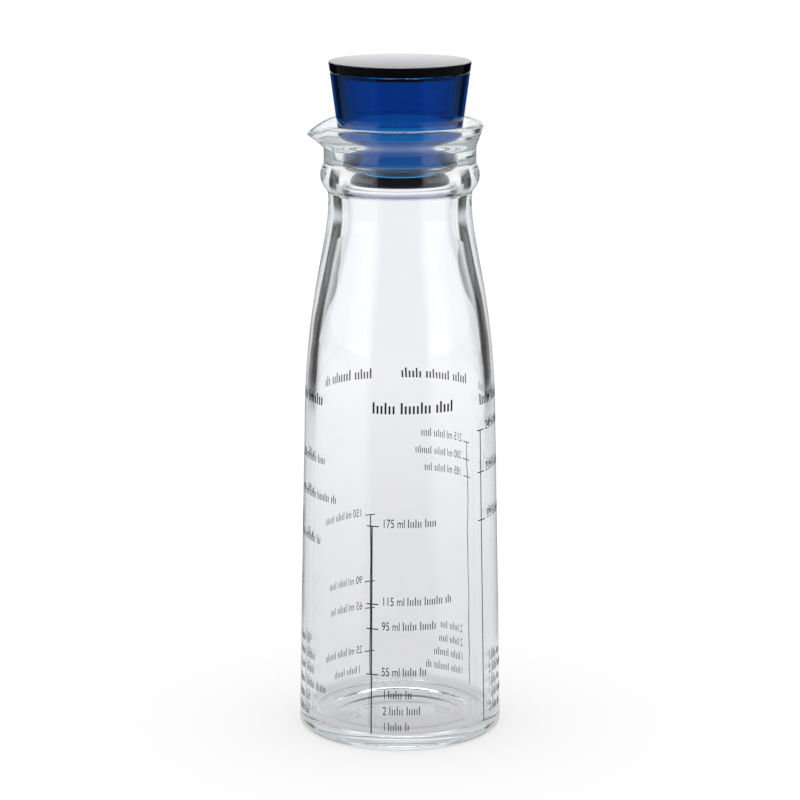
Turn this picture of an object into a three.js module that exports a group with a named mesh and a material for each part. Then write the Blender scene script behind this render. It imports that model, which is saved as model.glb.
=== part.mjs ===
// Salad dressing shaker: a clear glass bottle with a straight tapered body, a long shoulder, a ringed neck
// and a flared mouth with a pulled pouring spout, closed by a hollow tapered stopper that carries a
// silicone seal with two lips. Millimetres, +Z up, the origin on the axis in the plane that the bottle
// stands on. The spout points to -X.

import * as THREE from "three";

// Bottle body
const baseDiameter = 65;
const baseEdgeRadius = 1.8;
const standingRingWidth = 6.5;
const puntDepth = 1;
const bodyHeight = 104;
const bodyTaper = 2.3;
const bodyWall = 3.1;
const floorThickness = 4;
const floorFillet = 4;

// Bottle shoulder
const shoulderHeight = 66.5;
const shoulderSwell = 37;
const shoulderRunOut = 14;
const innerSwell = 34;
const innerRunOut = 14;
const innerWaistHeight = 4.5;

// Bottle neck, from the waist up: a rounded ring, a short collar and the flare of the mouth
const neckWall = 4.8;
const ringRise = 8;
const ringProud = 2.5;
const ringSectionRadius = 6.2;
const collarInsideRing = 1.1;
const collarHeight = 4.8;
const flareHeight = 8.2;
const rimFlare = 2.1;
const lipThickness = 2.4;

// Pouring spout
const spoutHalfAngle = THREE.MathUtils.degToRad(36);
const spoutReach = 3.5;
const spoutDroop = 3.4;
const spoutCurl = 1.15;

// Stopper: a hollow tapered cup and the disc welded on top of it
const stopperTopDiameter = 44.5;
const stopperBottomDiameter = 34.8;
const stopperHeight = 36.9;
const stopperDepth = 18;
const stopperWall = 2.6;
const stopperFloor = 3.2;
const stopperEdgeRadius = 0.6;
const cavityFillet = 1.5;
const lidThickness = 3.1;
const lidBevel = 0.4;
const spigotDepth = 1.4;

// Seal ring in the stopper's groove
const grooveRise = 2;
const grooveHeight = 4;
const grooveDepth = 1.2;
const lipPitch = 1.6;
const lipRootThickness = 1;
const lipTipThickness = 0.4;

// Clearances
const boreClearance = 0.8;
const throatStep = 0.6;
const sealClearance = 0.3;
const grooveClearance = 0.2;
const spigotClearance = 0.25;

// Facets
const turnSegments = 48;

// Heights and radii that follow from the sizes above
const baseRadius = baseDiameter / 2;
const waistZ = bodyHeight + shoulderHeight;
const ringZ = waistZ + ringRise;
const ringTopAngle = Math.acos(1 - collarInsideRing / ringSectionRadius);
const collarZ = ringZ + ringSectionRadius * Math.sin(ringTopAngle);
const flareZ = collarZ + collarHeight;
const bottleHeight = flareZ + flareHeight;
const stopperBottomZ = bottleHeight - stopperDepth;
const stopperTopZ = stopperBottomZ + stopperHeight;
const lidSeatZ = stopperTopZ - lidThickness;
const grooveZ = stopperBottomZ + grooveRise;

// The straight taper of the body's outer wall
function bodyRadius(z) {
  return baseRadius - (bodyTaper * z) / bodyHeight;
}

// The cone of the stopper's side; the bottle's bore and the seal's lips follow the same cone
function stopperRadius(z) {
  const share = (z - stopperBottomZ) / stopperHeight;
  return THREE.MathUtils.lerp(stopperBottomDiameter / 2, stopperTopDiameter / 2, share);
}

function boreRadius(z) {
  return stopperRadius(z) + boreClearance;
}

const waistBore = boreRadius(stopperBottomZ) - throatStep;
const waistRadius = waistBore + neckWall;
const ringRadius = waistRadius + ringProud;
const collarRadius = ringRadius - collarInsideRing;
const rimRadius = collarRadius + rimFlare;

// A profile point: distance from the axis, height
function at(radius, height) {
  return new THREE.Vector2(radius, height);
}

function line(from, to) {
  return new THREE.LineCurve(from, to).getPoints(1);
}

function bend(from, corner, to, steps) {
  return new THREE.QuadraticBezierCurve(from, corner, to).getPoints(steps);
}

function sweep(from, leaving, arriving, to, steps) {
  return new THREE.CubicBezierCurve(from, leaving, arriving, to).getPoints(steps);
}

// Part of a circle in the profile, anticlockwise from one angle to another
function arc(centre, radius, fromAngle, toAngle, steps) {
  const clockwise = toAngle < fromAngle;
  const curve = new THREE.EllipseCurve(centre.x, centre.y, radius, radius, fromAngle, toAngle, clockwise);
  return curve.getPoints(steps);
}

// Stretches that follow each other, with the doubled points at their joints dropped
function joined(...stretches) {
  const points = [];
  for (const point of stretches.flat()) {
    const last = points.at(-1);
    if (!last || last.distanceTo(point) > 1e-5) points.push(point);
  }
  return points;
}

// A profile turned round the Z axis
function turned(points) {
  const geometry = new THREE.LatheGeometry(points, turnSegments);
  geometry.rotateX(Math.PI / 2);
  return geometry;
}

// Underside with its punt and standing ring, the tapered body and the shoulder up to the waist
function bodyOutside() {
  const ringEdge = bodyRadius(baseEdgeRadius) - baseEdgeRadius;
  const puntEdge = ringEdge - standingRingWidth;
  const shoulderStart = at(bodyRadius(bodyHeight), bodyHeight);
  const shoulderLeaves = at(bodyRadius(bodyHeight + shoulderSwell), bodyHeight + shoulderSwell);
  const waist = at(waistRadius, waistZ);
  const waistArrives = at(waistRadius, waistZ - shoulderRunOut);
  return joined(
    bend(at(0, puntDepth), at(puntEdge * 0.7, puntDepth), at(puntEdge, 0), 5),
    line(at(puntEdge, 0), at(ringEdge, 0)),
    arc(at(ringEdge, baseEdgeRadius), baseEdgeRadius, -Math.PI / 2, 0, 4),
    line(at(bodyRadius(baseEdgeRadius), baseEdgeRadius), shoulderStart),
    sweep(shoulderStart, shoulderLeaves, waistArrives, waist, 12),
  );
}

// The rounded ring above the waist, the collar, the flare and the outer half of the rolled rim
function neckOutside() {
  const ringCentre = at(ringRadius - ringSectionRadius, ringZ);
  const startAngle = -Math.acos(1 - (0.7 * ringProud) / ringSectionRadius);
  const ring = arc(ringCentre, ringSectionRadius, startAngle, ringTopAngle, 9);
  const ringStart = ring[0];
  const backToWaist = (ringStart.x - waistRadius) / Math.tan(-startAngle);
  const rimZ = bottleHeight - lipThickness / 2;
  return joined(
    bend(at(waistRadius, waistZ), at(waistRadius, ringStart.y - backToWaist), ringStart, 4),
    ring,
    line(at(collarRadius, collarZ), at(collarRadius, flareZ)),
    sweep(
      at(collarRadius, flareZ),
      at(collarRadius, flareZ + flareHeight * 0.2),
      at(collarRadius + rimFlare * 0.55, flareZ + flareHeight * 0.35),
      at(rimRadius, rimZ),
      6,
    ),
  );
}

// Over the rim and down the inside: the funnel of the mouth, the bore, the waist, the shoulder and the floor
function inside() {
  const rimZ = bottleHeight - lipThickness / 2;
  const mouthRadius = rimRadius - lipThickness;
  const boreTop = at(boreRadius(flareZ), flareZ);
  const boreFoot = at(boreRadius(stopperBottomZ), stopperBottomZ);
  const waistTop = at(waistBore, waistZ);
  const waistFoot = at(waistBore, waistZ - innerWaistHeight);
  const shoulderFoot = at(bodyRadius(bodyHeight) - bodyWall, bodyHeight);
  const shoulderLeaves = at(bodyRadius(bodyHeight + innerSwell) - bodyWall, bodyHeight + innerSwell);
  const filletTop = floorThickness + floorFillet;
  const wallFoot = at(bodyRadius(filletTop) - bodyWall, filletTop);
  const filletCentre = at(wallFoot.x - floorFillet, filletTop);
  return joined(
    arc(at(rimRadius - lipThickness / 2, rimZ), lipThickness / 2, 0, Math.PI, 8),
    sweep(
      at(mouthRadius, rimZ),
      at(mouthRadius, rimZ - flareHeight * 0.35),
      at(boreTop.x + rimFlare * 0.5, flareZ + flareHeight * 0.35),
      boreTop,
      6,
    ),
    line(boreTop, boreFoot),
    bend(boreFoot, at(waistBore, (stopperBottomZ + waistZ) / 2), waistTop, 4),
    line(waistTop, waistFoot),
    sweep(waistFoot, at(waistBore, waistFoot.y - innerRunOut), shoulderLeaves, shoulderFoot, 12),
    line(shoulderFoot, wallFoot),
    arc(filletCentre, floorFillet, 0, -Math.PI / 2, 5),
    line(at(filletCentre.x, floorThickness), at(0, floorThickness)),
  );
}

// Draws the mouth's wall out and down to one side, as the glassmaker pulls it while it is soft
function pullSpout(geometry) {
  const place = geometry.getAttribute("position");
  for (let i = 0; i < place.count; i++) {
    const x = place.getX(i);
    const y = place.getY(i);
    const z = place.getZ(i);
    const fromSpout = Math.abs(Math.atan2(y, -x));
    if (z < flareZ || fromSpout > spoutHalfAngle) continue;
    const nearness = Math.cos(((fromSpout / spoutHalfAngle) * Math.PI) / 2) ** 2;
    const pull = nearness * ((z - flareZ) / flareHeight) ** spoutCurl;
    place.setXYZ(i, x - spoutReach * pull, y, z - spoutDroop * pull);
  }
  geometry.computeVertexNormals();
}

function bottleGeometry() {
  const geometry = turned(joined(bodyOutside(), neckOutside(), inside()));
  pullSpout(geometry);
  return geometry;
}

// The cup from the middle of its floor: rounded foot, side with the seal's groove, rim, cavity
function stopperCupGeometry() {
  const foot = at(stopperRadius(stopperBottomZ), stopperBottomZ);
  const grooveTopZ = grooveZ + grooveHeight;
  const grooveRadius = stopperRadius(grooveZ) - grooveDepth;
  const cavityZ = stopperBottomZ + stopperFloor;
  const cavityFoot = at(stopperRadius(cavityZ) - stopperWall, cavityZ);
  return turned(
    joined(
      line(at(0, stopperBottomZ), at(foot.x - stopperEdgeRadius, stopperBottomZ)),
      bend(
        at(foot.x - stopperEdgeRadius, stopperBottomZ),
        foot,
        at(stopperRadius(stopperBottomZ + stopperEdgeRadius), stopperBottomZ + stopperEdgeRadius),
        3,
      ),
      line(at(stopperRadius(grooveZ), grooveZ), at(grooveRadius, grooveZ)),
      line(at(grooveRadius, grooveTopZ), at(stopperRadius(grooveTopZ), grooveTopZ)),
      line(at(stopperRadius(lidSeatZ), lidSeatZ), at(stopperRadius(lidSeatZ) - stopperWall, lidSeatZ)),
      bend(
        at(stopperRadius(cavityZ + cavityFillet) - stopperWall, cavityZ + cavityFillet),
        cavityFoot,
        at(cavityFoot.x - cavityFillet, cavityZ),
        4,
      ),
      line(at(cavityFoot.x - cavityFillet, cavityZ), at(0, cavityZ)),
    ),
  );
}

// The top disc: it carries on the cup's cone, and its spigot centres it in the cup
function stopperLidGeometry() {
  const spigotZ = lidSeatZ - spigotDepth;
  const spigotRadius = stopperRadius(spigotZ) - stopperWall - spigotClearance;
  return turned(
    joined(
      line(at(0, spigotZ), at(spigotRadius, spigotZ)),
      line(at(spigotRadius, lidSeatZ), at(stopperRadius(lidSeatZ), lidSeatZ)),
      line(
        at(stopperRadius(stopperTopZ - lidBevel), stopperTopZ - lidBevel),
        at(stopperRadius(stopperTopZ) - lidBevel, stopperTopZ),
      ),
      line(at(stopperRadius(stopperTopZ) - lidBevel, stopperTopZ), at(0, stopperTopZ)),
    ),
  );
}

// One lip of the seal, from its root on the band to its tip just inside the bore and back
function sealLip(bandRadius, z) {
  const tipRadius = boreRadius(z) - sealClearance;
  const root = lipRootThickness / 2;
  const tip = lipTipThickness / 2;
  return joined(
    line(at(bandRadius, z - root), at(tipRadius, z - tip)),
    line(at(tipRadius, z + tip), at(bandRadius, z + root)),
  );
}

// The seal ring: a flat band that fills the groove, with two lips round it
function sealRingGeometry() {
  const lowZ = grooveZ + grooveClearance;
  const highZ = grooveZ + grooveHeight - grooveClearance;
  const midZ = (lowZ + highZ) / 2;
  const innerRadius = stopperRadius(grooveZ) - grooveDepth + grooveClearance;
  const bandRadius = stopperRadius(grooveZ);
  return turned(
    joined(
      line(at(innerRadius, lowZ), at(bandRadius, lowZ)),
      sealLip(bandRadius, midZ - lipPitch / 2),
      sealLip(bandRadius, midZ + lipPitch / 2),
      line(at(bandRadius, highZ), at(innerRadius, highZ)),
      [at(innerRadius, lowZ)],
    ),
  );
}

const clearGlass = new THREE.MeshStandardMaterial({
  color: 0xeaf1f1,
  roughness: 0.02,
  metalness: 0,
  transparent: true,
  opacity: 0.35,
});

const blueAcrylic = new THREE.MeshStandardMaterial({
  color: 0x0c3f8c,
  roughness: 0.06,
  metalness: 0,
  transparent: true,
  opacity: 0.85,
});

const clearSilicone = new THREE.MeshStandardMaterial({
  color: 0xd5dde2,
  roughness: 0.4,
  metalness: 0,
  transparent: true,
  opacity: 0.6,
});

function named(name, geometry, material) {
  const mesh = new THREE.Mesh(geometry, material);
  mesh.name = name;
  return mesh;
}

const stopper = new THREE.Group();
stopper.add(named("stopper_cup", stopperCupGeometry(), blueAcrylic));
stopper.add(named("stopper_lid", stopperLidGeometry(), blueAcrylic.clone()));
stopper.add(named("seal_ring", sealRingGeometry(), clearSilicone));

const shaker = new THREE.Group();
shaker.add(named("bottle", bottleGeometry(), clearGlass));
shaker.add(stopper);

export default shaker;
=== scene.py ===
# %% [markdown]
# # A salad dressing shaker in glass, blue acrylic and silicone
#
# The object is a clear bottle with a pouring spout, closed by a hollow blue stopper with a lipped seal.
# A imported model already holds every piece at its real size. This lesson gives each piece the fine round
# surface that a turned or blown thing has, prints the scales on the glass, and lights it like a catalogue
# photograph. Everything is in metres in the model's own frame: the origin is on the axis, where the bottle
# stands, +Z is up and the spout points to -X.

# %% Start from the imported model
import math

import bmesh
import bpy
from mathutils import Matrix, Vector


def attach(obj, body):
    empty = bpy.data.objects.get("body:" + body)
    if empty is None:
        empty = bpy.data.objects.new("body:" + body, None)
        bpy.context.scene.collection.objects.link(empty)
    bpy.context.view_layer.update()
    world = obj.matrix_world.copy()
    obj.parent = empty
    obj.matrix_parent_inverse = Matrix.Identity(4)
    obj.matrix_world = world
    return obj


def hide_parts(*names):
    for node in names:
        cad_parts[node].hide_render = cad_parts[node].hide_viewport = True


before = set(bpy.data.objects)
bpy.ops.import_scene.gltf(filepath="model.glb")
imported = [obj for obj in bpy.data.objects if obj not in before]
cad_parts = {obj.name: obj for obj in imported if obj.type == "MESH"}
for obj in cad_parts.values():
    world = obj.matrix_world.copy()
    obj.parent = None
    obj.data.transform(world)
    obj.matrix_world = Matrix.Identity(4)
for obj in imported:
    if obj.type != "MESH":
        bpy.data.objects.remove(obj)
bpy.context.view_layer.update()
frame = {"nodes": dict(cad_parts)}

MM = 0.001
print("packed model:", ", ".join(frame["nodes"]))

# %% [markdown]
# ## Outlines
#
# Glass bottles, turned stoppers and moulded rings all have one thing in common: a section that goes round
# an axis. So each piece starts as a half section, a list of points that hold the distance from the axis
# and the height in millimetres. A section has only a few stretches: straight lines, arcs and Bezier
# curves. Three small functions sample them, and one joins them up.


# %% Lines, arcs and curves of a section
SAME_POINT = 1e-4


def line(start, end, steps=1):
    """Points along a straight stretch."""
    return [tuple(Vector(start).lerp(Vector(end), i / steps)) for i in range(steps + 1)]


def arc(centre, radius, start, end, steps):
    """Points along part of a circle, between two angles in degrees."""
    angles = [math.radians(start + (end - start) * i / steps) for i in range(steps + 1)]
    return [(centre[0] + radius * math.cos(a), centre[1] + radius * math.sin(a)) for a in angles]


def curve(*corners, steps):
    """Points along a Bezier curve from its first corner to its last, by repeated steps between corners."""
    points = []
    for i in range(steps + 1):
        row = [Vector(c) for c in corners]
        while len(row) > 1:
            row = [a.lerp(b, i / steps) for a, b in zip(row, row[1:])]
        points.append(tuple(row[0]))
    return points


def joined(*stretches):
    """Stretches end to end, without the points that two of them share."""
    points = []
    for point in (p for stretch in stretches for p in stretch):
        if not points or (Vector(point) - Vector(points[-1])).length > SAME_POINT:
            points.append(point)
    return points


print(f"a quarter circle in 6 steps has {len(arc((0, 0), 1, 0, 90, 6))} points")

# %% [markdown]
# ## From a section to a piece
#
# The spin operator turns the section round the axis, as a lathe or a mould does. The points that lie on
# the axis come out once for each step, so they are merged, and the normals are worked out afresh because
# spin can leave them facing in. A fold sharper than 35 degrees keeps a crisp highlight, and everything
# else is shaded round.

# %% Spin a section and finish a mesh
TURN_STEPS = 192
CRISP_ANGLE = math.radians(35)
MERGE_DISTANCE = 1e-7


def spun(outline, ring=False):
    """A bmesh of a section turned round Z. A ring's section closes on itself."""
    bm = bmesh.new()
    verts = [bm.verts.new((radius * MM, 0, height * MM)) for radius, height in outline]
    edges = [bm.edges.new(pair) for pair in zip(verts, verts[1:])]
    if ring:
        edges.append(bm.edges.new((verts[-1], verts[0])))
    bmesh.ops.spin(bm, geom=verts + edges, cent=(0, 0, 0), axis=(0, 0, 1), angle=math.tau,
                   steps=TURN_STEPS, use_merge=True)
    bmesh.ops.remove_doubles(bm, verts=bm.verts, dist=MERGE_DISTANCE)
    bmesh.ops.recalc_face_normals(bm, faces=bm.faces)
    return bm


def piece(bm, name, body):
    """The bmesh as an object that rides on a body."""
    for face in bm.faces:
        face.smooth = True
    for edge in bm.edges:
        if len(edge.link_faces) == 2 and edge.calc_face_angle(0) > CRISP_ANGLE:
            edge.smooth = False
    mesh = bpy.data.meshes.new(name)
    bm.to_mesh(mesh)
    bm.free()
    made = bpy.data.objects.new(name, mesh)
    bpy.context.scene.collection.objects.link(made)
    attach(made, body)
    print(f"{name}: {len(mesh.polygons)} faces on {body}")
    return made


print(f"each section is turned in {TURN_STEPS} steps of {360 / TURN_STEPS} degrees")

# %% [markdown]
# ## The stopper's cone rules the neck
#
# The stopper seals on a cone, and the bottle's bore is the same cone a little wider. So the cone comes
# first, and the bottle's neck is worked out from it, in the same way as in the model. All sizes here are
# millimetres.

# %% Sizes of the stopper and heights of the bottle
STOPPER_TOP_DIAMETER = 44.5
STOPPER_BOTTOM_DIAMETER = 34.8
STOPPER_HEIGHT = 36.9
STOPPER_DEPTH = 18
BORE_CLEARANCE = 0.8

BASE_DIAMETER = 65
BODY_HEIGHT = 104
BODY_TAPER = 2.3
SHOULDER_HEIGHT = 66.5
RING_RISE = 8
RING_PROUD = 2.5
RING_SECTION_RADIUS = 6.2
COLLAR_INSIDE_RING = 1.1
COLLAR_HEIGHT = 4.8
FLARE_HEIGHT = 8.2

waist_z = BODY_HEIGHT + SHOULDER_HEIGHT
ring_z = waist_z + RING_RISE
ring_top_angle = math.acos(1 - COLLAR_INSIDE_RING / RING_SECTION_RADIUS)
collar_z = ring_z + RING_SECTION_RADIUS * math.sin(ring_top_angle)
flare_z = collar_z + COLLAR_HEIGHT
bottle_height = flare_z + FLARE_HEIGHT
stopper_bottom_z = bottle_height - STOPPER_DEPTH
stopper_top_z = stopper_bottom_z + STOPPER_HEIGHT


def body_radius(z):
    """The straight taper of the bottle's outer wall."""
    return BASE_DIAMETER / 2 - BODY_TAPER * z / BODY_HEIGHT


def stopper_radius(z):
    """The cone of the stopper's side."""
    share = (z - stopper_bottom_z) / STOPPER_HEIGHT
    return (STOPPER_BOTTOM_DIAMETER + (STOPPER_TOP_DIAMETER - STOPPER_BOTTOM_DIAMETER) * share) / 2


def bore_radius(z):
    """The bottle's bore, which follows the same cone."""
    return stopper_radius(z) + BORE_CLEARANCE


print(f"bottle {bottle_height:.1f} mm tall, {stopper_top_z:.1f} mm with its stopper in")

# %% [markdown]
# ## The bottle
#
# The real bottle is pressed and blown soda-lime glass with a wall of changing thickness, and it is that
# wall that gives glass its look: light bends once at the outer face and again at the inner one. So the
# section is a closed wall, out along the underside, up the outside, over the rim and down the inside.
# A solid bottle would turn the picture behind it upside down, and a shell with no thickness would look
# like film.
#
# Each curved stretch is one Bezier curve. Most shares below say how far its handles reach, which is what
# sets how soon the flare bends and how flat the shallow hollow under the bottle, the punt, is.

# %% The bottle's wall
BASE_EDGE_RADIUS = 1.8
STANDING_RING_WIDTH = 6.5
PUNT_DEPTH = 1
BODY_WALL = 3.1
FLOOR_THICKNESS = 4
FLOOR_FILLET = 4
SHOULDER_SWELL = 37
SHOULDER_RUN_OUT = 14
INNER_SWELL = 34
INNER_RUN_OUT = 14
INNER_WAIST_HEIGHT = 4.5
NECK_WALL = 4.8
RIM_FLARE = 2.1
LIP_THICKNESS = 2.4
THROAT_STEP = 0.6
PUNT_FLAT_SHARE = 0.7
RING_FOOT_SHARE = 0.7
FLARE_UPRIGHT_SHARE = 0.2
FLARE_BEND_SHARE = 0.35
FLARE_OUT_SHARE = 0.55
FUNNEL_OUT_SHARE = 0.5

waist_bore = bore_radius(stopper_bottom_z) - THROAT_STEP
waist_radius = waist_bore + NECK_WALL
ring_radius = waist_radius + RING_PROUD
collar_radius = ring_radius - COLLAR_INSIDE_RING
rim_radius = collar_radius + RIM_FLARE
rim_z = bottle_height - LIP_THICKNESS / 2
flare_bend_z = flare_z + FLARE_HEIGHT * FLARE_BEND_SHARE


def bottle_outside():
    """From the middle of the underside up to the outer edge of the rim."""
    stands_to = body_radius(BASE_EDGE_RADIUS) - BASE_EDGE_RADIUS
    punt_edge = stands_to - STANDING_RING_WIDTH
    swell_z = BODY_HEIGHT + SHOULDER_SWELL
    start = -math.degrees(math.acos(1 - RING_FOOT_SHARE * RING_PROUD / RING_SECTION_RADIUS))
    ring = arc((ring_radius - RING_SECTION_RADIUS, ring_z), RING_SECTION_RADIUS,
               start, math.degrees(ring_top_angle), 24)
    foot = (ring[0][0] - waist_radius) / math.tan(math.radians(-start))
    return joined(
        curve((0, PUNT_DEPTH), (punt_edge * PUNT_FLAT_SHARE, PUNT_DEPTH), (punt_edge, 0), steps=14),
        line((punt_edge, 0), (stands_to, 0)),
        arc((stands_to, BASE_EDGE_RADIUS), BASE_EDGE_RADIUS, -90, 0, 10),
        line((body_radius(BASE_EDGE_RADIUS), BASE_EDGE_RADIUS), (body_radius(BODY_HEIGHT), BODY_HEIGHT), 20),
        curve((body_radius(BODY_HEIGHT), BODY_HEIGHT), (body_radius(swell_z), swell_z),
              (waist_radius, waist_z - SHOULDER_RUN_OUT), (waist_radius, waist_z), steps=40),
        curve((waist_radius, waist_z), (waist_radius, ring[0][1] - foot), ring[0], steps=10),
        ring,
        line((collar_radius, collar_z), (collar_radius, flare_z), 3),
        curve((collar_radius, flare_z), (collar_radius, flare_z + FLARE_HEIGHT * FLARE_UPRIGHT_SHARE),
              (collar_radius + RIM_FLARE * FLARE_OUT_SHARE, flare_bend_z), (rim_radius, rim_z), steps=16),
    )


def bottle_inside():
    """Over the rim, down the funnel and the bore, and out along the shoulder to the middle of the floor."""
    mouth = rim_radius - LIP_THICKNESS
    swell_z = BODY_HEIGHT + INNER_SWELL
    wall_foot_z = FLOOR_THICKNESS + FLOOR_FILLET
    wall_foot = body_radius(wall_foot_z) - BODY_WALL
    shoulder_foot = body_radius(BODY_HEIGHT) - BODY_WALL
    return joined(
        arc((rim_radius - LIP_THICKNESS / 2, rim_z), LIP_THICKNESS / 2, 0, 180, 16),
        curve((mouth, rim_z), (mouth, rim_z - FLARE_HEIGHT * FLARE_BEND_SHARE),
              (bore_radius(flare_z) + RIM_FLARE * FUNNEL_OUT_SHARE, flare_bend_z),
              (bore_radius(flare_z), flare_z), steps=16),
        line((bore_radius(flare_z), flare_z), (bore_radius(stopper_bottom_z), stopper_bottom_z), 4),
        curve((bore_radius(stopper_bottom_z), stopper_bottom_z),
              (waist_bore, (stopper_bottom_z + waist_z) / 2), (waist_bore, waist_z), steps=8),
        line((waist_bore, waist_z), (waist_bore, waist_z - INNER_WAIST_HEIGHT), 3),
        curve((waist_bore, waist_z - INNER_WAIST_HEIGHT),
              (waist_bore, waist_z - INNER_WAIST_HEIGHT - INNER_RUN_OUT),
              (body_radius(swell_z) - BODY_WALL, swell_z), (shoulder_foot, BODY_HEIGHT), steps=44),
        line((shoulder_foot, BODY_HEIGHT), (wall_foot, wall_foot_z), 20),
        arc((wall_foot - FLOOR_FILLET, wall_foot_z), FLOOR_FILLET, 0, -90, 12),
        line((wall_foot - FLOOR_FILLET, FLOOR_THICKNESS), (0, FLOOR_THICKNESS)),
    )


outside = bottle_outside()
bottle_mesh = spun(joined(outside, bottle_inside()))
print(f"wall section of {len(outside)} points outside, {len(bottle_mesh.faces)} faces when turned")


def wall_radius(z):
    """The outer wall's radius at a height, read off the section."""
    for (r0, z0), (r1, z1) in zip(outside, outside[1:]):
        if z0 <= z <= z1 and z1 > z0 and r0 > waist_radius:
            return r0 + (r1 - r0) * (z - z0) / (z1 - z0)
    raise ValueError(f"no wall at {z} mm")


# %% [markdown]
# ## Waves of blown glass
#
# A mould shapes only the outside. The inside of a blown shoulder is left by air, so it is never quite
# round or straight. Waves of a twentieth of a millimetre are enough to make the dark line at the glass's
# edge wander. They fade out at both ends of the shoulder, so that no step is left.

# %% Let the inner wall of the shoulder wander
WAVES_FROM, WAVES_TO = 106, 168
WAVES = ({"depth": 0.05, "length": 27, "round": 1}, {"depth": 0.02, "length": 15, "round": -2})
INSIDE_BY = 1.5

moved = 0
for vert in bottle_mesh.verts:
    x, y, z = vert.co / MM
    if WAVES_FROM < z < WAVES_TO and math.hypot(x, y) < wall_radius(z) - INSIDE_BY:
        fade = math.sin(math.pi * (z - WAVES_FROM) / (WAVES_TO - WAVES_FROM))
        turn = math.atan2(y, x)
        swell = sum(wave["depth"] * math.sin(math.tau * z / wave["length"] + wave["round"] * turn)
                    for wave in WAVES)
        grown = 1 + fade * swell / math.hypot(x, y)
        vert.co.x *= grown
        vert.co.y *= grown
        moved += 1
print(f"shoulder: {moved} points moved")

# %% [markdown]
# ## The spout
#
# A glassmaker makes a spout while the mouth is still soft: one pull outwards and down with a rod. The
# code does the same. Each point of the mouth moves by how near it is to the spout's direction and how
# high it stands in the flare, so the rim moves most and the collar stays round.

# %% Pull the spout
SPOUT_HALF_ANGLE = math.radians(36)
SPOUT_REACH = 3.5
SPOUT_DROOP = 3.4
SPOUT_CURL = 1.15

pulled = 0
for vert in bottle_mesh.verts:
    x, y, z = vert.co / MM
    off = abs(math.atan2(y, -x))
    if z > flare_z and off < SPOUT_HALF_ANGLE:
        near = math.cos(off / SPOUT_HALF_ANGLE * math.pi / 2) ** 2
        pull = near * ((z - flare_z) / FLARE_HEIGHT) ** SPOUT_CURL
        vert.co.x -= SPOUT_REACH * pull * MM
        vert.co.z -= SPOUT_DROOP * pull * MM
        pulled += 1
print(f"spout: {pulled} points pulled")

# %% The bottle's place in the model
bottle = piece(bottle_mesh, "glass_bottle", "bottle")
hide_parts("bottle")

# %% [markdown]
# ## The stopper
#
# The stopper is moulded in two parts, a cup and a lid, and welded. Both are clear deep blue acrylic. The
# hollow matters: light crosses two thin walls in the middle, which stay blue, but runs the whole width
# of the lid and of the floor, which therefore look nearly black. No paint is needed for those dark
# bands, only true thicknesses.
#
# The lid also has a skirt that reaches halfway down inside the cup. It nearly doubles the wall there, so the
# upper half of the stopper is a deeper blue than the lower half. A fine groove along the weld catches a
# thin line of light.

# %% Cup and lid
STOPPER_WALL = 2.6
STOPPER_FLOOR = 3.2
STOPPER_EDGE_RADIUS = 0.6
CAVITY_FILLET = 1.5
LID_THICKNESS = 3.1
LID_BEVEL = 0.4
SPIGOT_DEPTH = 1.4
SPIGOT_CLEARANCE = 0.25
SKIRT_DEPTH = 15.5
SKIRT_WALL = 1.9
WELD_GROOVE = 0.25
GROOVE_RISE = 2
GROOVE_HEIGHT = 4
GROOVE_DEPTH = 1.2

lid_seat_z = stopper_top_z - LID_THICKNESS
groove_z = stopper_bottom_z + GROOVE_RISE
groove_top_z = groove_z + GROOVE_HEIGHT
groove_radius = stopper_radius(groove_z) - GROOVE_DEPTH


def cup_section():
    """Foot, side with the seal's groove, rim and cavity."""
    foot = stopper_radius(stopper_bottom_z)
    edge_z = stopper_bottom_z + STOPPER_EDGE_RADIUS
    cavity_z = stopper_bottom_z + STOPPER_FLOOR
    cavity = stopper_radius(cavity_z) - STOPPER_WALL
    seat = stopper_radius(lid_seat_z)
    weld_z = lid_seat_z - WELD_GROOVE
    return joined(
        line((0, stopper_bottom_z), (foot - STOPPER_EDGE_RADIUS, stopper_bottom_z)),
        curve((foot - STOPPER_EDGE_RADIUS, stopper_bottom_z), (foot, stopper_bottom_z),
              (stopper_radius(edge_z), edge_z), steps=6),
        line((stopper_radius(groove_z), groove_z), (groove_radius, groove_z)),
        line((groove_radius, groove_top_z), (stopper_radius(groove_top_z), groove_top_z)),
        line((stopper_radius(groove_top_z), groove_top_z), (stopper_radius(weld_z), weld_z), 8),
        line((seat - WELD_GROOVE, lid_seat_z), (seat - STOPPER_WALL, lid_seat_z)),
        curve((stopper_radius(cavity_z + CAVITY_FILLET) - STOPPER_WALL, cavity_z + CAVITY_FILLET),
              (cavity, cavity_z), (cavity - CAVITY_FILLET, cavity_z), steps=8),
        line((cavity - CAVITY_FILLET, cavity_z), (0, cavity_z)),
    )


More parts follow.
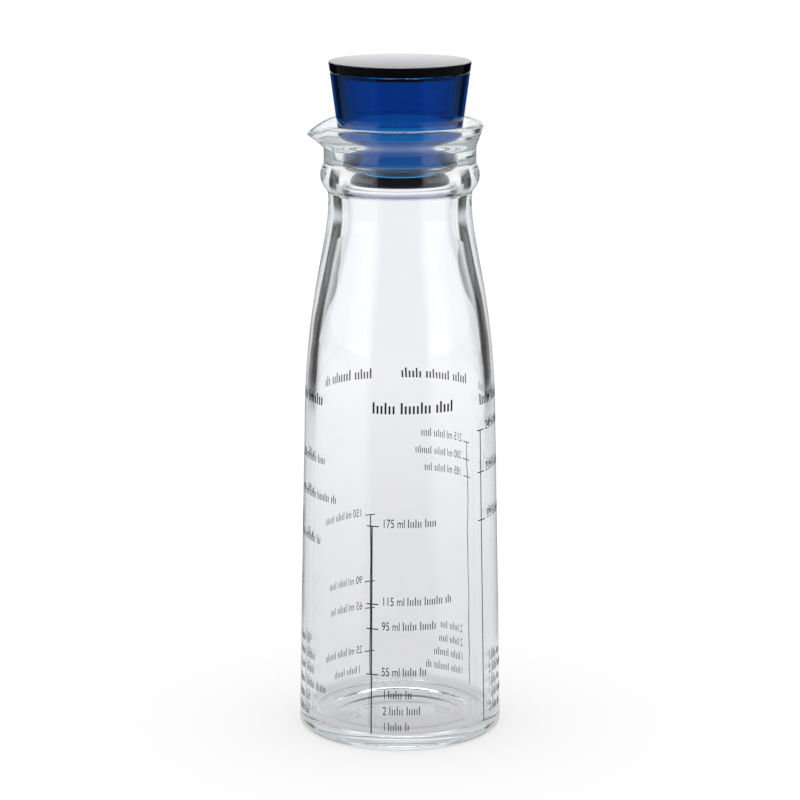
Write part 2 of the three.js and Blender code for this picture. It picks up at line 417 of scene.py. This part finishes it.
def lid_section():
    """The top disc with its skirt below and a small bevel above."""
    skirt_z = lid_seat_z - SKIRT_DEPTH
    spigot_z = lid_seat_z - SPIGOT_DEPTH
    spigot = stopper_radius(lid_seat_z) - STOPPER_WALL - SPIGOT_CLEARANCE
    skirt = stopper_radius(skirt_z) - STOPPER_WALL - SPIGOT_CLEARANCE
    bevel_z = stopper_top_z - LID_BEVEL
    weld_z = lid_seat_z + WELD_GROOVE
    return joined(
        line((0, spigot_z), (spigot - SKIRT_WALL, spigot_z)),
        line((skirt - SKIRT_WALL, skirt_z), (skirt, skirt_z)),
        line((spigot, lid_seat_z), (stopper_radius(lid_seat_z) - WELD_GROOVE, lid_seat_z)),
        line((stopper_radius(weld_z), weld_z), (stopper_radius(bevel_z), bevel_z)),
        curve((stopper_radius(bevel_z), bevel_z), (stopper_radius(stopper_top_z), stopper_top_z),
              (stopper_radius(stopper_top_z) - LID_BEVEL, stopper_top_z), steps=5),
        line((stopper_radius(stopper_top_z) - LID_BEVEL, stopper_top_z), (0, stopper_top_z)),
    )


cup = piece(spun(cup_section()), "acrylic_cup", "stopper")
lid = piece(spun(lid_section()), "acrylic_lid", "stopper")
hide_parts("stopper_cup")
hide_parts("stopper_lid")

# %% [markdown]
# ## The seal
#
# The ring is moulded silicone: a flat band that fills the groove and two thin lips that wipe the bore.
# The lips taper to rounded tips, so the section is drawn with a small arc at each tip.

# %% Silicone ring
SEAL_CLEARANCE = 0.3
GROOVE_CLEARANCE = 0.2
LIP_PITCH = 1.6
LIP_ROOT = 1
LIP_TIP = 0.4
LIP_TIP_ANGLE = 80


def seal_section():
    """The band and its two lips."""
    low, high = groove_z + GROOVE_CLEARANCE, groove_top_z - GROOVE_CLEARANCE
    inner, band = groove_radius + GROOVE_CLEARANCE, stopper_radius(groove_z)
    section = [(inner, low), (band, low)]
    for z in ((low + high - LIP_PITCH) / 2, (low + high + LIP_PITCH) / 2):
        tip = bore_radius(z) - SEAL_CLEARANCE - LIP_TIP / 2
        section += [(band, z - LIP_ROOT / 2)]
        section += arc((tip, z), LIP_TIP / 2, -LIP_TIP_ANGLE, LIP_TIP_ANGLE, 6)
        section += [(band, z + LIP_ROOT / 2)]
    return section + [(band, high), (inner, high)]


seal = piece(spun(seal_section(), ring=True), "silicone_seal", "stopper")
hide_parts("seal_ring")

# %% [markdown]
# ## The printed scales
#
# Five scales are screen printed round the body, one fifth of a turn apart. Each has an upright line with
# ticks across it, figures to the right of the ticks, and short rows below. The figures are plain
# volumes: each is what the bottle really holds up to its tick, worked out from the inner wall. Where the
# real print has words there are only rows of short upright bars, of a word's length and weight.
# BAR_RHYTHM gives their heights, and a 0 in it leaves a gap, as between two words.
#
# Ink is a layer a few hundredths of a millimetre thick. It is drawn flat, with arc length along the wall
# and height up it, and then wrapped on the glass, so a tick 4 mm long follows the curve.

# %% How the ink is laid out
FIRST_SCALE_ANGLE = -16.3
SCALE_COUNT = 5
INK_GAP = 0.012
INK_THICKNESS = 0.03
LINE_WIDTH = 0.42
TICK_LEFT, TICK_RIGHT, TICK_THICKNESS = -1.7, 2.2, 0.36
LABEL_LEFT, ROW_LEFT = 3.2, 3.6
LABEL_DROP = 0.3
WORD_GAP = 1
FIGURE_HEIGHT = 2.7
FIGURE_NARROWING = 0.66
FIGURE_CURVE_STEPS = 5
SMALL_BAR = {"height": 1.9, "stroke": 0.3, "pitch": 0.78}
BOLD_BAR = {"height": 2.5, "stroke": 0.62, "pitch": 1.25}
BAR_RHYTHM = (1.42, 1, 1, 1.42, 1, 1, 0, 1.42, 1, 1, 1, 1, 1.42, 1, 1, 0, 1, 1.42, 1, 1)
HEADING_Z = 108.4
LINE_FOOT_Z = 5.4
BAR_STEP = 0.9
print(f"{SCALE_COUNT} scales, {360 / SCALE_COUNT:.0f} degrees apart")


def bar(bm, left, base, width, height):
    """One upright or lying bar, cut into short lengths so that it can bend round the wall."""
    cells = max(1, math.ceil(width / BAR_STEP))
    middle = Matrix.Translation((left + width / 2, base + height / 2, 0))
    bmesh.ops.create_grid(bm, x_segments=cells, y_segments=1, size=0.5,
                          matrix=middle @ Matrix.Diagonal((width, height, 1, 1)))


def word(bm, left, base, length, look):
    """A row of upright bars as long as a word, with a taller one or a gap now and then."""
    for i in range(int(length / look["pitch"])):
        tall = BAR_RHYTHM[i % len(BAR_RHYTHM)]
        if tall:
            bar(bm, left + i * look["pitch"], base, look["stroke"], look["height"] * tall)


def figures(bm, text, left, base):
    """Plain figures from the built-in font, as flat faces of the height and narrowness that are set."""
    made = bpy.data.objects.new("figures", bpy.data.curves.new("figures", "FONT"))
    made.data.body = text
    made.data.resolution_u = FIGURE_CURVE_STEPS
    bpy.context.scene.collection.objects.link(made)
    bpy.context.view_layer.update()
    mesh = bpy.data.meshes.new_from_object(made.evaluated_get(bpy.context.evaluated_depsgraph_get()))
    bpy.data.objects.remove(made)
    tall = max(v.co.y for v in mesh.vertices)
    size = FIGURE_HEIGHT / tall
    mesh.transform(Matrix.Diagonal((size * FIGURE_NARROWING, size, 1, 1)))
    wide = max(v.co.x for v in mesh.vertices)
    mesh.transform(Matrix.Translation((left, base, 0)))
    bm.from_mesh(mesh)
    bpy.data.meshes.remove(mesh)
    return left + wide


# %% [markdown]
# A figure on a scale has to be true. The volume up to a tick is the sum of thin discs whose radius is
# that of the inner wall, which is the taper less the wall's thickness. It is rounded to five millilitres,
# as a printer would.

# %% Volumes and the wrap
DISCS = 200
CUBIC_MM_PER_ML = 1000
FIGURE_STEP = 5


def volume_to(z):
    """Millilitres in the bottle up to a height, by thin discs."""
    step = (z - FLOOR_THICKNESS) / DISCS
    radii = [body_radius(FLOOR_THICKNESS + (i + 0.5) * step) - BODY_WALL for i in range(DISCS)]
    return sum(math.pi * r * r * step for r in radii) / CUBIC_MM_PER_ML


def wrap(bm, angle):
    """Thickens flat ink and lays it on the wall, with u = 0 at the angle, counted from the front to +X."""
    bmesh.ops.recalc_face_normals(bm, faces=bm.faces)
    for face in bm.faces:
        if face.normal.z < 0:
            face.normal_flip()
    raised = bmesh.ops.extrude_face_region(bm, geom=bm.faces[:])["geom"]
    tops = {v for v in raised if isinstance(v, bmesh.types.BMVert)}
    for vert in bm.verts:
        u, z = vert.co.x, vert.co.y
        radius = wall_radius(z)
        turn = math.radians(angle) + u / radius
        out = radius + INK_GAP + (INK_THICKNESS if vert in tops else 0)
        vert.co = Vector((out * math.sin(turn), -out * math.cos(turn), z)) * MM


print(f"the bottle holds {volume_to(100):.0f} ml up to 100 mm")

# %% [markdown]
# Each scale has its own ticks and rows. A tick has its height and the length of its word, a row has its
# height, its figure and the length of its word. All are millimetres on the glass.

# %% What each scale holds
SCALES = (
    {"heading": 26.5, "ticks": ((72.7, 9.5), (47.7, 15), (39.7, 11.5), (24.9, 8.5)),
     "rows": ((17.2, "1", 8), (11.9, "2", 10.5), (6.7, "1", 7.5))},
    {"heading": 28, "ticks": ((100.4, 10), (87, 12), (71.5, 10)),
     "rows": ((24.4, "1", 10), (20.2, "2", 12), (16, "1", 9), (11.8, "1", 12), (7.6, "2", 8))},
    {"heading": 28, "ticks": ((88.5, 9.5), (82.5, 13), (76.8, 9)),
     "rows": ((22.8, "2", 9), (18, "2", 10), (13.1, "1", 13), (8.2, "1", 15))},
    {"heading": 24.5, "ticks": ((61.4, 12), (38.3, 10), (29.2, 9), (14, 12)),
     "rows": ((6.6, "1", 11),)},
    {"heading": 20, "ticks": ((90.1, 10), (78.4, 15), (64, 8)),
     "rows": ((29.6, "1", 9), (25, "1", 12), (20.4, "2", 11), (15.6, "1", 18), (10.9, "1", 10),
              (6.2, "1", 9))},
)


# %% Draw and wrap the five scales
def scale(plan):
    """One scale, drawn flat."""
    bm = bmesh.new()
    word(bm, 0, HEADING_Z, plan["heading"], BOLD_BAR)
    top = max(z for z, _ in plan["ticks"])
    bar(bm, -LINE_WIDTH / 2, LINE_FOOT_Z, LINE_WIDTH, top + TICK_THICKNESS / 2 - LINE_FOOT_Z)
    for z, length in plan["ticks"]:
        bar(bm, TICK_LEFT, z - TICK_THICKNESS / 2, TICK_RIGHT - TICK_LEFT, TICK_THICKNESS)
        end = figures(bm, f"{FIGURE_STEP * round(volume_to(z) / FIGURE_STEP)} ml", LABEL_LEFT, z - LABEL_DROP)
        word(bm, end + WORD_GAP, z - LABEL_DROP, length, SMALL_BAR)
    for z, figure, length in plan["rows"]:
        end = figures(bm, figure, ROW_LEFT, z)
        word(bm, end + WORD_GAP, z, length, SMALL_BAR)
    return bm


prints = []
for i, plan in enumerate(SCALES):
    flat = scale(plan)
    wrap(flat, FIRST_SCALE_ANGLE + 360 * i / SCALE_COUNT)
    prints.append(piece(flat, f"printed_scale_{i + 1}", "bottle"))

# %% [markdown]
# ## Materials
#
# Colours are written as sRGB hex values, as they are read off a picture, and one function turns them
# into the linear values that light is worked out in. One more function adds a node with its settings and
# links, and every material is built with it.


# %% Colour and node helpers
def linear(hex_colour):
    """An sRGB hex colour as linear red, green, blue and alpha."""
    channels = [int(hex_colour[i:i + 2], 16) / 255 for i in (1, 3, 5)]
    return (*[c / 12.92 if c <= 0.04045 else ((c + 0.055) / 1.055) ** 2.4 for c in channels], 1)


def add(tree, kind, inputs=None, **settings):
    """A node with its settings. Each input gets a value, another socket, or a node's first output."""
    node = tree.nodes.new(kind)
    for name, value in settings.items():
        setattr(node, name, value)
    for name, value in (inputs or {}).items():
        if isinstance(value, bpy.types.Node):
            value = value.outputs[0]
        if isinstance(value, bpy.types.NodeSocket):
            tree.links.new(value, node.inputs[name])
        else:
            node.inputs[name].default_value = value
    return node


def material(name, *owners):
    """An empty node material, given to its pieces, and its output."""
    made = bpy.data.materials.new(name)
    made.use_nodes = True
    made.node_tree.nodes.clear()
    for owner in owners:
        owner.data.materials.append(made)
    return made.node_tree, add(made.node_tree, "ShaderNodeOutputMaterial")


def clear_body(tree, output, surface, taken, per_metre, passed):
    """A clear body: its shader, the tint that its depth leaves, and what its shadow lets through."""
    path = add(tree, "ShaderNodeLightPath")
    open_way = add(tree, "ShaderNodeBsdfTransparent", {"Color": passed})
    mix = add(tree, "ShaderNodeMixShader",
              {0: path.outputs["Is Shadow Ray"], 1: surface.outputs[0], 2: open_way.outputs[0]})
    depth = add(tree, "ShaderNodeVolumeAbsorption", {"Color": taken, "Density": per_metre})
    tree.links.new(mix.outputs[0], output.inputs["Surface"])
    tree.links.new(depth.outputs[0], output.inputs["Volume"])


print(f"half grey, #808080, is {linear('#808080')[0]:.3f} in linear light")

# %% [markdown]
# **Soda-lime glass, fire-polished.** It bends light with an index of 1.52 and takes more red than green or
# blue on the way, so thick edges turn a cool grey. Its surface is never as flat as a float pane: the mould
# and the cooling leave slow waves, about a seventh of a millimetre deep, one in every 17 mm or so.

# %% Glass
GLASS_WAVES_PER_METRE = 60.0
GLASS_WAVE_DEPTH = 0.14 * MM
GLASS_DENSITY = 4.0

tree, output = material("soda_lime_glass", bottle)
place = add(tree, "ShaderNodeTexCoord")
waves = add(tree, "ShaderNodeTexNoise",
            {"Vector": place.outputs["Object"], "Scale": GLASS_WAVES_PER_METRE,
             "Detail": 1.0, "Roughness": 0.4})
bump = add(tree, "ShaderNodeBump",
           {"Height": waves.outputs["Fac"], "Strength": 1.0, "Distance": GLASS_WAVE_DEPTH})
surface = add(tree, "ShaderNodeBsdfPrincipled",
              {"Base Color": linear("#fcfcfe"), "Roughness": 0.0, "IOR": 1.52, "Transmission Weight": 1.0,
               "Normal": bump.outputs["Normal"]})
clear_body(tree, output, surface, linear("#ddeff1"), GLASS_DENSITY, linear("#eef1f1"))
print(f"glass: {len(tree.nodes)} nodes")

# %% [markdown]
# **Clear blue acrylic, polished.** The colour is all in the depth: each millimetre takes two thirds of the
# red, a third of the green and a sixth of the blue. The base colour of the surface stays near white.

# %% Blue acrylic
DYE_DENSITY = 1200.0

tree, output = material("blue_acrylic", cup, lid)
surface = add(tree, "ShaderNodeBsdfPrincipled",
              {"Base Color": linear("#f4f6ff"), "Roughness": 0.02, "IOR": 1.49, "Transmission Weight": 1.0})
clear_body(tree, output, surface, linear("#00daef"), DYE_DENSITY, linear("#3060c0"))
print(f"acrylic: {len(tree.nodes)} nodes")

# %% [markdown]
# **Moulded silicone.** It is soft, milky and only half clear, with a satin skin, so it scatters what
# passes through it.

# %% Silicone
SILICONE_DENSITY = 60.0

tree, output = material("translucent_silicone", seal)
surface = add(tree, "ShaderNodeBsdfPrincipled",
              {"Base Color": linear("#f1f4f6"), "Roughness": 0.18, "IOR": 1.41, "Transmission Weight": 0.94})
clear_body(tree, output, surface, linear("#dfe6e8"), SILICONE_DENSITY, linear("#d8dfe2"))
print(f"silicone: {len(tree.nodes)} nodes")

# %% [markdown]
# **Screen-print enamel.** A fired black ink, matt, with the faint unevenness that the screen's mesh
# leaves, about 0.4 mm from grain to grain.

# %% Ink
INK_GRAINS_PER_METRE = 2500.0

tree, output = material("black_enamel_ink", *prints)
place = add(tree, "ShaderNodeTexCoord")
grain = add(tree, "ShaderNodeTexNoise",
            {"Vector": place.outputs["Object"], "Scale": INK_GRAINS_PER_METRE,
             "Detail": 2.0, "Roughness": 0.6})
shade = add(tree, "ShaderNodeMix",
            {0: grain.outputs["Fac"], 6: linear("#16191a"), 7: linear("#2c3132")}, data_type="RGBA")
surface = add(tree, "ShaderNodeBsdfPrincipled",
              {"Base Color": shade.outputs[2], "Roughness": 0.45, "IOR": 1.5})
tree.links.new(surface.outputs[0], output.inputs["Surface"])
print(f"ink: {len(tree.nodes)} nodes")

# %% [markdown]
# ## The table
#
# Clear glass has hardly any look of its own: it shows what stands round it, bent and mirrored. So the
# surroundings are part of the glass. In a catalogue studio the object stands on white paper. The paper is
# painted a little greyer close to the object than further back, as painted shade, and behind the object,
# to the left and right, it ends and the dark room begins. It is that darkness that the thick edges of the
# glass pick up as grey lines. Straight behind, the paper runs on, so the middle of the glass stays bright.
#
# The floor does all this by place, and its grey near and under the object is painted shade. Cards stood round
# the object could do it as well.
# One material is simpler: the camera itself sees it plain white, so that nothing of the room shows beside
# the object, and part of the light on it is real, so that it keeps the object's shadow.

# %% The floor plane
FLOOR_SIZE = 12.0

bm = bmesh.new()
bmesh.ops.create_grid(bm, x_segments=1, y_segments=1, size=FLOOR_SIZE / 2)
mesh = bpy.data.meshes.new("floor")
bm.to_mesh(mesh)
bm.free()
floor = bpy.data.objects.new("floor", mesh)
bpy.context.scene.collection.objects.link(floor)
print(f"floor: {FLOOR_SIZE} m square")

# %% [markdown]
# Two measures serve both the floor and the room. One is the angle from straight behind the object, the
# same to the left and to the right. The other tells a ray that the glass threw back from one that only
# went through. Light thrown back inside a thick edge comes from the dark sectors, and draws the dark
# lines. Light that goes straight through meets a pale room instead, so that the bottle stays clear when
# somebody walks round it.

# %% Where things stand in the studio
def angle_from_back(tree, direction):
    """How far round Z a direction is from +Y, to either side, in radians."""
    parts = add(tree, "ShaderNodeSeparateXYZ", {0: direction})
    aside = add(tree, "ShaderNodeMath", {0: parts.outputs["X"]}, operation="ABSOLUTE")
    return add(tree, "ShaderNodeMath", {0: aside, 1: parts.outputs["Y"]}, operation="ARCTAN2")


def was_mirrored(tree, path):
    """1 for a ray that was thrown back at least once, 0 for one that only went through glass."""
    turns = add(tree, "ShaderNodeMath",
                {0: path.outputs["Ray Depth"], 1: path.outputs["Transmission Depth"]}, operation="SUBTRACT")
    return add(tree, "ShaderNodeMath", {0: turns, 1: HALF_A_TURN}, operation="GREATER_THAN")


SMOOTH = {"interpolation_type": "SMOOTHSTEP"}
HALF_A_TURN = 0.5
DARK_ROOM, ROOM_SEEN_THROUGH = 0.07, 0.78
PAPER_HALF_ANGLE = math.radians(20)
PAPER_EDGE = math.radians(4)
DARK_FLOOR_ENDS = math.radians(54)
FRONT_STARTS = math.radians(137)
FRONT_EDGE = math.radians(5)
print(f"dark sectors from {math.degrees(PAPER_HALF_ANGLE):.0f} degrees on, left and right")

# %% [markdown]
# The floor's brightness is a number built up in steps: the paper's tone with painted shade, greyer near
# the object and painted darker still under the bottle as a painted shadow, where less light gets in, then
# the dark floor to either side of it, then the front of the table, which stands in the shade of the camera,
# and last the camera's own view. What the glass mirrors at its front faces is the room in front of the
# table, which is dim.

# %% White paper on a table
PAINTED_SHADOW_UNDER, PAINTED_SHADE_NEAR, PAPER_FAR = 0.7, 0.82, 1.0
UNDER_FROM, UNDER_TO = 0.022, 0.05
NEAR_FROM, NEAR_TO = 0.05, 0.6
BEYOND_FROM, BEYOND_TO = 0.25, 0.95

tree, output = material("white_paper_painted_shade", floor)
place = add(tree, "ShaderNodeTexCoord")
path = add(tree, "ShaderNodeLightPath")
angle = angle_from_back(tree, place.outputs["Object"])
reach = add(tree, "ShaderNodeVectorMath", {0: place.outputs["Object"]}, operation="LENGTH")
reach = reach.outputs["Value"]
# Painted shade: the paper is painted greyer close to the object than further back.
paper = add(tree, "ShaderNodeMapRange", {0: reach, 1: NEAR_FROM, 2: NEAR_TO, 3: PAINTED_SHADE_NEAR, 4: PAPER_FAR},
            **SMOOTH)
# Painted shadow: the paper is painted darker under the bottle's foot.
under = add(tree, "ShaderNodeMapRange",
            {0: reach, 1: UNDER_FROM, 2: UNDER_TO, 3: PAINTED_SHADOW_UNDER, 4: 1.0}, **SMOOTH)
paper = add(tree, "ShaderNodeMath", {0: paper, 1: under}, operation="MULTIPLY")
beside = add(tree, "ShaderNodeMapRange",
             {0: angle, 1: PAPER_HALF_ANGLE - PAPER_EDGE, 2: PAPER_HALF_ANGLE + PAPER_EDGE}, **SMOOTH)
inside = add(tree, "ShaderNodeMapRange",
             {0: angle, 1: DARK_FLOOR_ENDS - PAPER_EDGE, 2: DARK_FLOOR_ENDS + PAPER_EDGE, 3: 1.0, 4: 0.0},
             **SMOOTH)
beyond = add(tree, "ShaderNodeMapRange", {0: reach, 1: BEYOND_FROM, 2: BEYOND_TO}, **SMOOTH)
gap = add(tree, "ShaderNodeMath", {0: beside, 1: inside}, operation="MULTIPLY")
gap = add(tree, "ShaderNodeMath", {0: gap, 1: beyond}, operation="MULTIPLY")
thrown = was_mirrored(tree, path)
dark = add(tree, "ShaderNodeMix", {0: thrown, 2: ROOM_SEEN_THROUGH, 3: DARK_ROOM})
tone = add(tree, "ShaderNodeMix", {0: gap, 2: paper, 3: dark})
print("paper, and the dark floor beside it")

# %% The front of the table
FRONT_TONE, MIRRORED_TONE = 0.75, 0.1
SHADE_FROM, SHADE_TO = 0.15, 0.35
DIM_FROM, DIM_TO = 0.05, 0.16
SHALLOW_DEPTH = 4.5

front = add(tree, "ShaderNodeMapRange",
            {0: angle, 1: FRONT_STARTS - FRONT_EDGE, 2: FRONT_STARTS + FRONT_EDGE}, **SMOOTH)
apart = add(tree, "ShaderNodeMapRange", {0: reach, 1: SHADE_FROM, 2: SHADE_TO}, **SMOOTH)
shaded = add(tree, "ShaderNodeMath", {0: front, 1: apart}, operation="MULTIPLY")
shade = add(tree, "ShaderNodeMix", {0: shaded, 2: 1.0, 3: FRONT_TONE})
tone = add(tree, "ShaderNodeMath", {0: tone, 1: shade}, operation="MULTIPLY")
shallow = add(tree, "ShaderNodeMath",
              {0: path.outputs["Transmission Depth"], 1: SHALLOW_DEPTH}, operation="LESS_THAN")
thrown_back = add(tree, "ShaderNodeMath", {0: front, 1: shallow}, operation="MULTIPLY")
thrown_back = add(tree, "ShaderNodeMath", {0: thrown_back, 1: thrown}, operation="MULTIPLY")
mirrored = add(tree, "ShaderNodeMath",
               {0: path.outputs["Is Reflection Ray"], 1: thrown_back}, operation="MAXIMUM")
dim = add(tree, "ShaderNodeMapRange",
          {0: reach, 1: DIM_FROM, 2: DIM_TO, 3: 1.0, 4: MIRRORED_TONE}, **SMOOTH)
dimmed = add(tree, "ShaderNodeMath", {0: tone, 1: dim}, operation="MULTIPLY")
tone = add(tree, "ShaderNodeMix", {0: mirrored, 2: tone, 3: dimmed})
print("front of the table")

# %% What the camera sees of it
PAPER_GLOW = 1.05
OWN_LIGHT, OWN_LIGHT_SEEN = 0.88, 0.6

tone = add(tree, "ShaderNodeMix", {0: path.outputs["Is Camera Ray"], 2: tone, 3: 1.0})
colour = add(tree, "ShaderNodeCombineColor", {0: tone, 1: tone, 2: tone})
lit = add(tree, "ShaderNodeBsdfDiffuse", {"Color": colour})
own = add(tree, "ShaderNodeEmission", {"Color": colour, "Strength": PAPER_GLOW})
share = add(tree, "ShaderNodeMix", {0: path.outputs["Is Camera Ray"], 2: OWN_LIGHT, 3: OWN_LIGHT_SEEN})
both = add(tree, "ShaderNodeMixShader", {0: share, 1: lit, 2: own})
tree.links.new(both.outputs[0], output.inputs["Surface"])
print("floor: white to the camera, with the object's shadow")

# %% [markdown]
# ## The room and its lights
#
# Above the table the world stands for the room. It is dark apart from panels: the white backdrop that
# the paper runs up to, a pale wall at each side, and two large soft boxes in front, left and right of the
# camera. The boxes make the two upright pale bands on the shoulder. A grey wall above the dark gaps keeps
# the bottle's foot from turning black. Matt surfaces get plain even light instead.
#
# Each panel is a product of smooth steps, so its edges are as soft as a diffuser's. Its sizes are degrees:
# round from straight behind, and up from level. The backdrop starts below zero, so that it has no edge in
# its middle, and a foot at -40 is hidden by the floor.

# %% World
PANELS = (
    {"name": "backdrop", "from": -9, "to": 20, "foot": -40, "top": 24, "level": 1.07, "edge": 4},
    {"name": "grey wall", "from": 20, "to": 46, "foot": 10, "top": 30, "level": 0.67, "edge": 4},
    {"name": "side walls", "from": 46, "to": 110, "foot": -40, "top": 18, "level": 0.72, "edge": 5},
    {"name": "soft boxes", "from": 110, "to": 141, "foot": -40, "top": 22, "level": 1.27, "edge": 5},
)
FOOT_EDGE, TOP_EDGE = math.radians(4), math.radians(6)

world = bpy.data.worlds.new("studio")
bpy.context.scene.world = world
world.use_nodes = True
tree = world.node_tree
tree.nodes.clear()
output = add(tree, "ShaderNodeOutputWorld")
path = add(tree, "ShaderNodeLightPath")
place = add(tree, "ShaderNodeTexCoord")
angle = angle_from_back(tree, place.outputs["Generated"])
height = add(tree, "ShaderNodeSeparateXYZ", {0: place.outputs["Generated"]}).outputs["Z"]
light = 0.0
for panel in PANELS:
    keys = ("from", "to", "edge", "foot", "top")
    start, stop, soft, foot, top = (math.radians(panel[key]) for key in keys)
    after = add(tree, "ShaderNodeMapRange", {0: angle, 1: start - soft, 2: start + soft}, **SMOOTH)
    before = add(tree, "ShaderNodeMapRange",
                 {0: angle, 1: stop - soft, 2: stop + soft, 3: 1.0, 4: 0.0}, **SMOOTH)
    above = add(tree, "ShaderNodeMapRange",
                {0: height, 1: math.sin(foot - FOOT_EDGE), 2: math.sin(foot + FOOT_EDGE)}, **SMOOTH)
    below = add(tree, "ShaderNodeMapRange",
                {0: height, 1: math.sin(top - TOP_EDGE), 2: math.sin(top + TOP_EDGE),
                 3: panel["level"], 4: 0.0}, **SMOOTH)
    wide = add(tree, "ShaderNodeMath", {0: after, 1: before}, operation="MULTIPLY")
    high = add(tree, "ShaderNodeMath", {0: above, 1: below}, operation="MULTIPLY")
    light = add(tree, "ShaderNodeMath", {0: wide, 1: high, 2: light}, operation="MULTIPLY_ADD")
    print(f"{panel['name']}: {panel['from']} to {panel['to']} degrees from the back")
dark = add(tree, "ShaderNodeMix", {0: was_mirrored(tree, path), 2: ROOM_SEEN_THROUGH, 3: DARK_ROOM})
light = add(tree, "ShaderNodeMath", {0: light, 1: dark}, operation="MAXIMUM")
light = add(tree, "ShaderNodeMix", {0: path.outputs["Is Diffuse Ray"], 2: light, 3: 1.0})
light = add(tree, "ShaderNodeMix", {0: path.outputs["Is Camera Ray"], 2: light, 3: 1.0})
surface = add(tree, "ShaderNodeBackground", {"Color": linear("#ffffff"), "Strength": light})
tree.links.new(surface.outputs[0], output.inputs["Surface"])

# %% [markdown]
# One wide soft lamp hangs overhead. It only makes highlights: the white line along the rim, the glints on
# the ring and an even sheen on the lid when it is seen from above. The even light of the world already
# fills the rest. Its width keeps its edge from crossing the lid, which would look like a seam.

# %% Overhead lamp
LAMP_WIDTH = 0.75
LAMP_HEIGHT = 1.2
LAMP_BEHIND = 0.1
LAMP_RADIANCE = 6.5

lamp = bpy.data.objects.new("overhead_softbox", bpy.data.lights.new("overhead_softbox", "AREA"))
bpy.context.scene.collection.objects.link(lamp)
lamp.data.size = LAMP_WIDTH
lamp.data.energy = LAMP_RADIANCE * math.pi * LAMP_WIDTH ** 2
lamp.location = (0, LAMP_BEHIND, LAMP_HEIGHT)
lamp.visible_diffuse = False
lamp.visible_camera = False
print(f"lamp: {lamp.data.energy:.1f} W")

# %% [markdown]
# ## The camera
#
# The camera stands 0.9 m in front of the object and looks down on it a little. Its distance, height and
# tilt were found by fitting circles of the bottle to the photograph.

# %% Camera
CAMERA_BACK, CAMERA_UP = 0.902, 0.308
CAMERA_PITCH = math.radians(12.61)
FRAME_PIXELS = 800
FOCAL_PIXELS = 2908
SENSOR_WIDTH = 36

camera = bpy.data.objects.new("camera", bpy.data.cameras.new("camera"))
bpy.context.scene.collection.objects.link(camera)
camera.location = (0, -CAMERA_BACK, CAMERA_UP)
camera.rotation_euler = (math.pi / 2 - CAMERA_PITCH, 0, 0)
camera.data.sensor_width = SENSOR_WIDTH
camera.data.lens = SENSOR_WIDTH * FOCAL_PIXELS / FRAME_PIXELS
bpy.context.scene.camera = camera
print(f"camera: {camera.data.lens:.0f} mm lens, {math.hypot(CAMERA_BACK, CAMERA_UP):.2f} m from the origin")

# %% [markdown]
# ## Render settings
#
# A ray that runs along a thick glass edge is thrown back dozens of times before it leaves. With too few
# bounces it ends in the glass and leaves a grey stain, so the limit is high. Caustics are off: the shadow
# rays of the clear bodies already let the room's light through, and it would count twice.

# %% Settings that glass needs
GLASS_BOUNCES = 64
OPEN_BOUNCES = 32

scene = bpy.context.scene
scene.view_settings.view_transform = "Standard"
scene.cycles.max_bounces = GLASS_BOUNCES
scene.cycles.transmission_bounces = GLASS_BOUNCES
scene.cycles.glossy_bounces = GLASS_BOUNCES
scene.cycles.transparent_max_bounces = OPEN_BOUNCES
scene.cycles.caustics_reflective = False
scene.cycles.caustics_refractive = False
print(f"up to {GLASS_BOUNCES} bounces")
